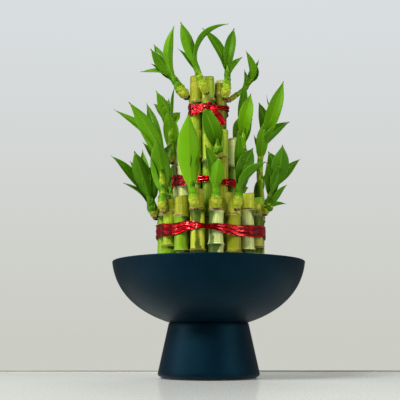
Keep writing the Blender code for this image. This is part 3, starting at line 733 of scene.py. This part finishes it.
def make_cane(tier, index):
    ring = TIERS[tier]
    count, radius = ring["count"], ring["radius"]
    seed = 3.7 * index + count
    top = ring["top"] + varied(seed, TOP_VARIES)
    nodes = [node + varied(seed + node, NODE_VARIES) for node in ring["nodes"]]
    rng = seeded(count, index)
    tilt = rng.normal(0.0, 0.06, 2)
    phase = rng.uniform(0.0, 2.0 * pi, 6)
    minor = [node - rng.uniform(6.0, 9.0) for node in nodes[:1]] + [top - rng.uniform(3.0, 6.0)]
    heights = np.concatenate([np.arange(CANE_FLOOR, top - 2.0, 2.5), [top - 1.6, top - 0.9, top - 0.5]]
                             + [node + np.linspace(-2.6, 2.8, 19) for node in nodes]
                             + [scar + np.linspace(-0.5, 0.5, 5) for scar in minor])
    heights = np.unique(np.round(heights[(heights <= top - 0.45)], 2))
    girth = radius + sum(node_shape(heights - node) for node in nodes)
    girth -= sum(0.12 * peak(heights - scar, 0.22) for scar in minor)
    profile = list(zip(girth, heights))
    profile += [(radius - 0.12, top - 0.15), (radius - 0.45, top), (radius - 0.75, top - 0.12),
                (0.72 * radius, top - 0.3), (0.45 * radius, top - 0.15), (0.2 * radius, top - 0.35),
                (0.3, top - 0.3)]
    rings = turned_rings(profile, CANE_SIDES)
    angle = circle(CANE_SIDES)
    height = np.array([point[1] for point in profile])[:, None]
    oval = 1.0 + 0.018 * np.sin(2 * angle + phase[0]) + 0.012 * np.sin(3 * angle + phase[1] + 0.02 * height)
    rings[..., :2] *= oval[..., None]
    sway = smooth((height - 60.0) / 80.0)
    rings[..., 0] += 0.3 * sway * np.sin(0.045 * height + phase[2])
    rings[..., 1] += 0.3 * sway * np.sin(0.050 * height + phase[3])
    ends = smooth((height - top + 3.0) / 2.0)
    rings[..., 2] += ends * (tilt[0] * rings[..., 0] + tilt[1] * rings[..., 1])
    on_cap = np.arange(len(profile))[:, None] >= len(heights) + 1
    rings[..., 2] += on_cap * 0.12 * np.sin(7.0 * angle + phase[4]) * np.sin(3.0 * angle + phase[5])
    rings += cane_centre(tier, index)

    stage = sum((height > node).astype(int) for node in nodes)[:, 0]
    known = RINDS[tier].get(index) or RINDS[tier].get(index - count)
    choices = np.array((LEAFY, LIME, YELLOW, PALE, STRAW, LIME, YELLOW))
    colours = np.array(known) if known else choices[rng.integers(len(choices), size=3)]
    colours = colours * rng.uniform(0.9, 1.08, (3, 1))
    tint = colours[stage][:, None, :]
    below = np.full_like(height, 99.0)
    for node in nodes:
        below = np.where((height <= node) & (node - height < below), node - height, below)
    wander = np.sin(angle + phase[4]) + 0.6 * np.sin(2.0 * angle + 0.05 * height + phase[5])
    reach = rng.uniform(5.0, 11.0)
    deep = 0.45 * wander + 1.0 * np.exp(-below / reach) - 0.18 + 0.15 * np.sin(0.12 * height + phase[1])
    deep = deep * (1.0 - 0.3 * smooth((tint[..., 2] - 0.06) / 0.08))
    clear = [0.25 if tier == "outer" and min(index, count - index) % 2 == 0 else 1.0, 1.0]
    uneven = 0.8 + 0.2 * np.sin(2.0 * angle + phase[1]) + 0.15 * np.sin(5.0 * angle + phase[2])
    mark = sum(share * uneven * peak(height - node - 0.7, 0.7) for share, node in zip(clear, nodes))
    mark = mark + sum(0.6 * peak(height - scar, 0.3) for scar in minor)
    mark = mark + 0.55 * smooth((height - top + 1.3) / 1.0)
    cut = np.array([0.0] * len(heights) + [0.0, 0.55, 0.85] + [1.0] * 4)[:, None]
    mark = mark * (1.0 - cut)
    skin = Skin()
    skin.loft(rings, tint=tint, deep=np.clip(deep, 0.0, 1.0) * (1.0 - cut), mark=mark, cut=cut)
    for node in nodes[1:]:
        add_collar(skin, cane_centre(tier, index), radius, node, rng)
    name = f"{tier}_{index % count + 1:02d}"
    skin.piece(f"cane_skin_{name}", [RIND, HUSK], [f"cane_{name}"])


def add_collar(skin, centre, radius, node, rng):
    """The torn brown remains of an old leaf's sheath, part of the way round a node."""
    start, span = rng.uniform(0.0, 360.0), rng.uniform(110.0, 250.0)
    share = column(0.0, 1.0, 44)
    out = np.array([heading(start + span * s) for s in share[:, 0]])
    torn = 0.5 + 0.3 * np.sin(share * 23.0 + start) + 0.25 * np.sin(share * 57.0)
    torn = torn + rng.uniform(-0.15, 0.15, share.shape)
    tall = 0.5 + 1.6 * torn * np.sin(pi * share) ** 0.4
    flare = 0.25 + 0.30 * torn
    edge = node + 0.4 + tall
    outline = ((0.12, node + 0.2), (0.55, node + 0.1), (0.35 + flare, edge), (0.22 + flare, edge))
    rings = np.stack([centre + out * (radius + clear) + UP * height for clear, height in outline], axis=1)
    skin.loft(rings, look=1)


# --- Ribbons -------------------------------------------------------------------------------------


def tie_point(tier, angle, clearance):
    """Where a band pulled tight round a tier runs at this angle."""
    ring = TIERS[tier]
    out = heading(angle)
    centres = [cane_centre(tier, index) for index in range(ring["count"])]
    return max(centres, key=lambda centre: centre @ out) + out * (ring["radius"] + clearance)


STRIP_SIDES = 31             # points across each face of a ribbon


def folds(phase):
    """A wave of sharp folds between -1 and 1."""
    return 2.0 / pi * np.arcsin(np.sin(phase))


def strip(centres, outward, upward, half, depth, phase, thick=0.14):
    """Rings for a creased strip of foil: centres run along it, and half is half its width there."""
    t = np.linspace(-1.0, 1.0, STRIP_SIDES)[None, :, None]
    crease = folds(phase) * 0.6 + folds(phase * 2.3 + 1.0) * 0.4
    rise = depth * (0.5 + 0.5 * crease)
    face = centres[:, None] + upward[:, None] * half[:, None, None] * t + outward[:, None] * rise[..., None]
    back = face - outward[:, None] * thick
    return there_and_back(face, back), there_and_back(crease, crease)


def band_path(tier, count):
    """Points evenly spaced along a band pulled tight round a tier, and the way that each one faces."""
    angles = np.linspace(-180.0, 180.0, 1441)
    points = np.array([tie_point(tier, angle, GAP) for angle in angles])
    run = np.concatenate([[0.0], np.cumsum(np.linalg.norm(np.diff(points, axis=0), axis=1))])
    even = np.linspace(0.0, run[-1], count, endpoint=False)
    outward = np.array([heading(angle) for angle in np.interp(even, run, angles)])
    return follow(even, run, points), outward, float(run[-1])


def eased(values, taps):
    """A closed run of values, smoothed over this odd number of steps."""
    weights = np.hanning(taps + 2)[1:-1]
    around = np.concatenate([values[-(taps // 2):], values, values[:taps // 2]])
    return np.convolve(around, weights / weights.sum(), "valid")


def make_band(name, tier, pleats, drift, path):
    steps = 420
    centres, outward, length = band_path(tier, steps)
    angles = np.degrees(np.arctan2(centres[:, 0] - TIERS[tier]["centre"], -centres[:, 1]))
    knots = np.array(path)
    height, half = (eased(np.interp(angles, knots[:, 0], knots[:, k], period=360.0), 13) for k in (1, 2))
    turn = np.radians(angles)
    height = height + 0.25 * np.sin(5.0 * turn + 1.0) + 0.15 * np.sin(11.0 * turn)
    centres = centres + outward * 0.25
    centres[:, 2] = height
    outward = unit(np.stack([eased(outward[:, k], 9) for k in range(3)], axis=1))
    upward = np.tile(UP, (steps, 1))
    narrow = np.clip(5.0 / half - 1.0, 0.0, 3.0)
    t = np.linspace(-1.0, 1.0, STRIP_SIDES)[None, :]
    wander = 1.9 * np.sin(3.0 * turn + 0.7) + 1.1 * np.sin(8.0 * turn + 2.0) + 0.7 * np.sin(17.0 * turn)
    phase = t * (pleats + 0.3 * narrow)[:, None] * pi + (drift * turn * 4.0 + wander)[:, None]
    crushed = 0.75 + 0.35 * np.sin(9.0 * turn + 2.0) + 0.2 * np.sin(23.0 * turn)
    depth = ((0.95 + 0.55 * narrow) * crushed)[:, None]
    rings, crease = strip(centres, outward, upward, half, depth, phase)
    skin = Skin()
    # deep marks the hollows of the creases, where the foil gets its painted shade
    skin.loft(rings, endless=True, deep=np.clip(-1.5 * crease, 0.0, 1.0))
    return skin.piece(f"{name}_foil", [FOIL], [name], creases=20), length


def make_knot():
    """The top ribbon's knot, a tight bundle of folds, and the free end that hangs from it."""
    centre = tie_point("inner", KNOT_ANGLE, 1.7)
    centre[2] = BANDS["ribbon_top"]["path"][6][1] + KNOT_RISE
    share = column(0.0, 1.0, 30)
    angle = circle(40)
    swell = np.sqrt(np.clip(1.0 - (2.0 * share - 1.0) ** 2, 0.004, 1.0))
    ridge = 1.0 + 0.16 * folds(5.0 * angle + 5.5 * share) + 0.06 * folds(11.0 * angle - 4.0 * share)
    rings = np.empty((30, 40, 3))
    rings[..., 0] = (share - 0.5) * 6.4 + 0.5 * np.cos(angle)
    rings[..., 1] = -1.9 * swell * ridge * np.cos(angle)
    rings[..., 2] = 2.6 * swell * ridge * np.sin(angle)
    skin = Skin()
    # painted shade: deep darkens most of the knot, most of all in the hollows between its folds
    skin.loft(rings + centre, deep=np.clip(0.7 - 0.6 * folds(5.0 * angle + 5.5 * share), 0.0, 1.0))
    knot = skin.piece("ribbon_top_knot", [FOIL], creases=24)

    steps = 40
    s = np.linspace(0.0, 1.0, steps)
    centres = follow(s, np.linspace(0, 1, 4), TAIL_ROUTE)
    centres[1:-1] = (centres[:-2] + centres[1:-1] + centres[2:]) / 3.0
    half = np.interp(s, (0.0, 0.2, 0.5, 0.85, 0.96, 1.0), (1.0, 1.7, 2.5, 3.2, 3.1, 2.4))
    outward = np.tile((0.25, -0.95, 0.1), (steps, 1))
    upward = unit(np.tile((0.86, 0.15, 0.50), (steps, 1)))
    t = np.linspace(-1.0, 1.0, STRIP_SIDES)[None, :]
    phase = t * 5.5 + np.sin(4.0 * s)[:, None]
    depth = np.interp(s, (0.0, 0.4, 1.0), (1.3, 0.9, 0.5))[:, None]
    rings, crease = strip(centres + centre, outward, upward, half, depth, phase)
    tail = Skin()
    # painted shade at half strength in the hollows of the tail's creases
    tail.loft(rings, deep=np.clip(-crease, 0.0, 1.0) * 0.5)
    return knot, tail.piece("ribbon_top_tail", [FOIL], creases=24)


def make_ribbons():
    knot, tail = make_knot()
    for name, band in BANDS.items():
        made, length = make_band(name, **band)


# --- Shoots --------------------------------------------------------------------------------------

BLADE_SHARES = np.concatenate([np.linspace(0.0, 0.3, 10), np.linspace(0.35, 0.9, 13),
                               (0.93, 0.955, 0.975, 0.99, 1.0)])
BLADE_KNOTS = ((0.0, 0.40), (0.15, 0.54), (0.30, 0.80), (0.44, 0.96), (0.56, 1.0), (0.68, 0.94), (0.79, 0.72),
               (0.88, 0.42), (0.95, 0.15), (1.0, 0.015))
SHEATH_SHARES = np.linspace(-1.0, 0.0, 7, endpoint=False)[:, None]
LEAF_SIDES = 13              # points across each face of a leaf
LEAF_START = 0.44            # how far a leaf follows its stem, as a share of its length
BULB_AT = 4.2                # how far up a stem its foot is most swollen, and how far that reaches
BULB_HALF = 4.2
BULB_SWELL = 0.50
RING_STEP = 2.7              # between the rings on a shoot's foot
WIDER = 1.12                 # a cupped leaf's width laid flat, next to its width as seen
SHOOT_SEED = 17
HIDDEN_FROM = 40             # number of the first shoot in MORE_SHOOTS
BLADE_DROP = 8.0             # how much further down the stem a leaf opens than its CAD stand-in


def blade_width(share):
    """Width of a leaf as a share of its full width, rounded off between the knots."""
    at, wide = np.array(BLADE_KNOTS).T
    before, here, after = (np.interp(share + step, at, wide) for step in (-0.03, 0.0, 0.03))
    return (before + 2 * here + after) / 4.0


def leaf_tint(tone):
    """Leaf green from dark (0) to bright (1), partly the leaf's own green and partly painted light and shade.
    """
    greens = ((0.005, 0.034, 0.0006), (0.022, 0.080, 0.0008), (0.100, 0.240, 0.0010))
    return follow(tone, (0.0, 0.5, 1.0), greens)


def add_leaf(skin, base, start, reach, width, turn, tone, rng, clasp=1.7, look=LEAF, sheath=None, bow=1.0):
    """A leaf that clasps its stem at the base, twists to face turn, and ends in a drawn-out tip.

    sheath is the (points, directions, radii) of the stem below the base, which the leaf wraps.
    """
    s = BLADE_SHARES[:, None]
    length = float(np.linalg.norm(reach))
    control, tip = base + start * (length * LEAF_START * bow), base + reach
    spine = base * (1 - s) ** 2 + control * (2 * s * (1 - s)) + tip * s**2
    along = unit((control - base) * (1 - s) + (tip - control) * s)
    place, clasp = s, np.full_like(s, clasp)
    if sheath:
        place = np.concatenate([SHEATH_SHARES, s])
        spine, along = np.concatenate([sheath[0], spine]), np.concatenate([sheath[1], along])
        clasp = np.concatenate([sheath[2], clasp])
        s = np.maximum(place, 0.0)
    front = np.array((0.0, -1.0, 0.0))
    angle = radians(turn)
    front = (front * cos(angle) + np.cross(along, front) * sin(angle)
             + along * dots(along, front) * (1 - cos(angle)))
    across = unit(np.cross(along, front))
    facing = np.cross(across, along)
    inward = -(reach - start * (reach @ start))
    inward = inward - along * dots(along, inward)
    inward = unit(inward + 0.05 * facing)
    if dots(inward, facing).mean() < 0.0:
        facing = -facing
    opens = np.clip(7.0 / length, 0.12, 0.4)
    turned = smooth(s / opens)
    opening = unit(inward * (1.0 - turned) + facing * turned)
    opening = unit(opening - along * dots(along, opening))
    sway = rng.normal(0.0, 0.18) * s + rng.normal(0.0, 0.10) * np.sin(3.0 * s)
    side = np.cross(along, opening)
    opening, side = opening * np.cos(sway) + side * np.sin(sway), side * np.cos(sway) - opening * np.sin(sway)

    wrapped = 1.0 - smooth(s / (opens * 1.3))
    rolled = (1.9 - 0.3 * place * (place < 0.0)) * wrapped
    curl = 0.34 + 0.26 * rng.uniform() + rolled + 0.35 * smooth((s - 0.8) / 0.2)
    shape = np.maximum(blade_width(s), min(0.85, 5.4 / width) * (1.0 - smooth((s - 0.1) / 0.5)))
    half = 0.5 * WIDER * width * shape * (1.0 - wrapped) + clasp * curl * wrapped
    spine = spine - opening * clasp * np.maximum(wrapped, 0.8 * (1.0 - s))
    spine = spine + opening * length * 0.05 * rng.normal(0.0, 1.0) * np.sin(pi * s) ** 2
    t = np.linspace(-1.0, 1.0, LEAF_SIDES)[None, :]
    out = half * np.sin(t * curl) / curl
    up = half * (1.0 - np.cos(t * curl)) / curl + 0.14 * half * np.abs(t) * (1.0 - wrapped)
    up = up + 0.03 * width * t**2 * np.sin(8.0 * s + 2.0 * np.sign(t) + rng.uniform(0, 6)) * smooth(s / 0.3)
    fade = 1.0 - 0.75 * smooth((s - 0.8) / 0.2)
    thick = (0.20 + 0.16 * (1.0 - t**2)) * fade
    rib = 0.24 * peak(t, 0.12) * fade * (1.0 - wrapped)
    middle = spine[:, None] + side[:, None] * out[..., None] + opening[:, None] * up[..., None]
    upper = middle + opening[:, None] * (0.5 * thick - 0.4 * rib)[..., None]
    under = middle - opening[:, None] * (0.5 * thick + rib)[..., None]
    rings = there_and_back(upper, under)
    back = np.repeat([[0.0, 1.0]], LEAF_SIDES, axis=1)
    dry_from = 1.0 - min(0.12, 2.6 / length) * rng.uniform(0.6, 1.5)
    mark = smooth((s - dry_from) / (1.0 - dry_from))
    # partly painted light and shade: the tone sets how dark or bright each leaf's green is
    tint = leaf_tint(np.clip(tone + rng.normal(0.0, 0.07), 0.0, 1.0))
    skin.loft(rings, look=look, tint=tint, along=place, across=there_and_back(t, t), deep=back,
              mark=mark)


def stem_line(points, share):
    """Point and direction at a share of the way along a smooth stem through three points."""
    start, middle, end = points
    control = middle * 2.0 - (start + end) * 0.5
    point = start * (1 - share) ** 2 + control * (2 * share * (1 - share)) + end * share**2
    direction = (control - start) * (1 - share) + (end - control) * share
    return point, unit(direction)


def stem_length(points):
    line = stem_line(points, column(0.0, 1.0, 20))[0]
    return float(np.linalg.norm(np.diff(line, axis=0), axis=1).sum())


def stem_girth(radius, share, length):
    """Radius of a stem at a share of its length, with its swollen foot."""
    away = share * length
    foot = BULB_SWELL * peak(away - BULB_AT, BULB_HALF) - 0.30 * peak(away, 1.2)
    bud = 1.0 - 0.75 * smooth((away - length + BLADE_DROP) / BLADE_DROP)
    return radius * (1.0 - STEM_TAPER * share) * (1.0 + foot) * bud


def add_stem(skin, points, inward, radius):
    """A stem with a ringed, swollen foot, its first stretch sunk against the cane."""
    share = column(0.0, 1.0, 60)
    line, along = stem_line(points, share)
    length = stem_length(points)
    away = share * length
    line = line + (inward * 1.5 - UP * 1.2) * (1.0 - smooth(away / 5.0))
    ringed = 1.0 - smooth((away - 8.0) / 5.0)
    rings_at = peak(away % RING_STEP - 0.5 * RING_STEP, 0.24) * ringed
    one = unit(np.cross(along, np.array((0.0, 1.0, 0.05))))
    two = np.cross(along, one)
    angle = circle(24)
    girth = stem_girth(radius, share, length) - 0.14 * rings_at
    lumps = 0.05 * np.sin(3.0 * angle + 1.7 * away) + 0.04 * np.sin(5.0 * angle - 2.3 * away)
    girth = (girth * (1.0 + lumps * ringed))[..., None]
    angle = angle[..., None]
    body = line[:, None] + (one[:, None] * np.cos(angle) + two[:, None] * np.sin(angle)) * girth
    tint = blend((0.37, 0.41, 0.030), (0.11, 0.23, 0.003), smooth(away / 15.0)[..., None])
    skin.loft(body, look=SHANK, tint=tint, mark=rings_at * 0.4)


def make_shoot(number, name, cane, side, stem, leaves, height=None, radius=STEM_RADIUS, nodes=True):
    clear_of_cane = TIERS[cane[0]]["radius"] + NODE_SWELL + GAP + radius
    foot = cane_centre(*cane) + heading(side) * clear_of_cane
    foot[2] = height or TIERS[cane[0]]["shoots"]
    points = [foot] + [foot + np.array(offset, float) for offset in stem]
    length = stem_length(points)
    rng = seeded(SHOOT_SEED, number)
    skin = Skin()
    add_stem(skin, points, -heading(side), radius)

    def add_sheathed(share, reach, width, turn, tone, wraps, bow=1.0):
        base, along = stem_line(points, share)
        clasp = stem_girth(radius, share, length) + rng.uniform(0.12, 0.5)
        below = np.maximum(share + SHEATH_SHARES * wraps / length, min(share * 0.6, 6.0 / length))
        below = np.minimum(below, share - 0.004 * np.arange(7, 0, -1)[:, None])
        line, direction = stem_line(points, below)
        thicker = stem_girth(radius, below, length) + 0.10
        add_leaf(skin, base, along, reach, width, turn, tone, rng, clasp, sheath=(line, direction, thicker),
                 bow=bow)

    for share, reach, width, turn, tone, *bow in leaves:
        low = max(share - BLADE_DROP / length, 0.25 * share)
        tip = stem_line(points, share)[0] + np.array(reach, float)
        add_sheathed(low, tip - stem_line(points, low)[0], width, turn, tone, rng.uniform(7.0, 11.0), *bow)
    end, along = stem_line(points, 1.0)
    spear = along * 15.0 + np.array((rng.normal(0, 1.5), rng.normal(0, 1.5), 3.0))
    spear_foot = end - along + np.array((0.0, 0.8, 0.0))
    add_leaf(skin, spear_foot, along, spear, 3.2, rng.uniform(20, 70), 0.5, rng, radius * 0.6)
    along = stem_line(points, 0.4)[1]
    add_sheathed(0.4, along * 8.0 + heading(side + 60) * 2.0, 4.5, 60, 0.75, 4.0)
    for spin in (-75, -20, 30, 85):
        lean = heading(side + spin + rng.uniform(-12, 12))
        base = foot - heading(side) * 1.6 + lean * 0.5 - UP * 1.2
        reach = lean * rng.uniform(1.2, 2.4) + UP * rng.uniform(1.2, 3.0)
        add_leaf(skin, base, unit(lean + UP * 0.6), reach, 4.2, spin, 0.5, rng, radius * 0.9, look=DRY)
    skin.piece(f"{name}_growth", list(SHOOT_LOOKS), [name] if nodes else ())


# --- The plant -----------------------------------------------------------------------------------

make_bowl()
make_foot()
make_pebbles()
for tier_name, tier_ring in TIERS.items():
    for place_in_ring in range(tier_ring["count"]):
        make_cane(tier_name, place_in_ring)
make_ribbons()
for shoot_number, (shoot_name, shoot) in enumerate(SHOOTS.items()):
    make_shoot(shoot_number, shoot_name, **shoot)
for shoot_number, (shoot_name, shoot) in enumerate(MORE_SHOOTS.items(), HIDDEN_FROM):
    make_shoot(shoot_number, shoot_name, nodes=False, **shoot)

# --- Stage, light and camera ---------------------------------------------------------------------

TABLE_BACK = 0.110
ROOM_COLOURS = ((0.0, (0.60, 0.605, 0.55)), (0.42, (0.70, 0.735, 0.76)))
ROOM_LIGHT = 0.33            # how strongly the room lights the plant, next to how bright it looks


def table_look():
    """Pale polished table top, faintly clouded."""
    look = Look("pale_table", Coat_Weight=0.5, Coat_Roughness=0.08)
    grain = look.noise(900.0, 2.0)
    look.bump((grain, 0.01))
    colour = look.mix(look.noise(7.0), (0.76, 0.77, 0.72), (0.83, 0.84, 0.79))
    return look.done(colour, look.span(grain, 0.3, 0.7, 0.20, 0.28))


def back_shade_look():
    """A dark strip along the back of the table: painted shade where the table meets the backdrop."""
    look = Look("painted_back_shade")
    return look.done(look.mix(look.noise(40.0), (0.22, 0.22, 0.19), (0.36, 0.36, 0.32)), 0.8)


def add_slab(name, size, middle, bevel, look):
    slab = bmesh.new()
    bmesh.ops.create_cube(slab, size=1.0)
    bmesh.ops.scale(slab, vec=size, verts=slab.verts)
    bmesh.ops.translate(slab, vec=middle, verts=slab.verts)
    bmesh.ops.bevel(slab, geom=slab.edges, offset=bevel, segments=3, affect="EDGES")
    mesh = bpy.data.meshes.new(name)
    slab.to_mesh(mesh)
    slab.free()
    mesh.materials.append(look)
    add_object(name, mesh)


def make_stage():
    add_slab("table_top", (2.4, 1.6, 0.03), (0.0, TABLE_BACK - 0.8, -0.015), 0.002, table_look())
    # painted shade: a dark strip along the table's back edge
    add_slab("table_back_shade_strip", (2.4, 0.004, 0.02), (0.0, TABLE_BACK + 0.004, -0.0089), 0.0003, back_shade_look())


def make_world():
    world = bpy.data.worlds.new("pale_room")
    bpy.context.scene.world = world
    world.use_nodes = True
    tree = world.node_tree
    background = tree.nodes["Background"]
    place = tree.nodes.new("ShaderNodeTexCoord")
    split = tree.nodes.new("ShaderNodeSeparateXYZ")
    tree.links.new(place.outputs["Generated"], split.inputs["Vector"])
    ramp = tree.nodes.new("ShaderNodeValToRGB")
    tree.links.new(split.outputs["Z"], ramp.inputs["Fac"])
    for element, (height, colour) in zip(ramp.color_ramp.elements, ROOM_COLOURS):
        element.position = height
        element.color = (*colour, 1.0)
    tree.links.new(ramp.outputs["Color"], background.inputs["Color"])
    seen = tree.nodes.new("ShaderNodeLightPath").outputs["Is Camera Ray"]
    strength = tree.nodes.new("ShaderNodeMapRange")
    tree.links.new(seen, strength.inputs["Value"])
    strength.inputs["To Min"].default_value = ROOM_LIGHT
    tree.links.new(strength.outputs["Result"], background.inputs["Strength"])


def add_light(name, place, size, power, target=(0.0, 0.0, 0.13)):
    light = bpy.data.lights.new(name, "AREA")
    light.shape = "RECTANGLE"
    light.size, light.size_y = size
    light.energy = power
    obj = add_object(name, light)
    obj.location = place
    away = obj.location - type(obj.location)(target)
    obj.rotation_euler = away.to_track_quat("Z", "Y").to_euler()


def make_camera():
    data = bpy.data.cameras.new("camera")
    data.sensor_width, data.lens, data.clip_start = 36.0, 72.0, 0.01
    camera = add_object("camera", data)
    camera.location = (-0.0066, -0.620, 0.0315)
    camera.rotation_euler = (radians(90.0 + 9.65), 0.0, 0.0)
    bpy.context.scene.camera = camera


make_stage()
make_world()
add_light("key", (-0.7, -0.8, 1.1), (0.5, 0.35), 28.0)
add_light("fill", (0.9, -0.6, 0.5), (0.6, 0.6), 7.0)
add_light("window", (-1.0, -0.25, 0.45), (0.5, 0.5), 6.0)
add_light("back", (0.2, 0.9, 0.9), (0.8, 0.4), 8.0)
make_camera()
bpy.context.scene.view_settings.view_transform = "Standard"
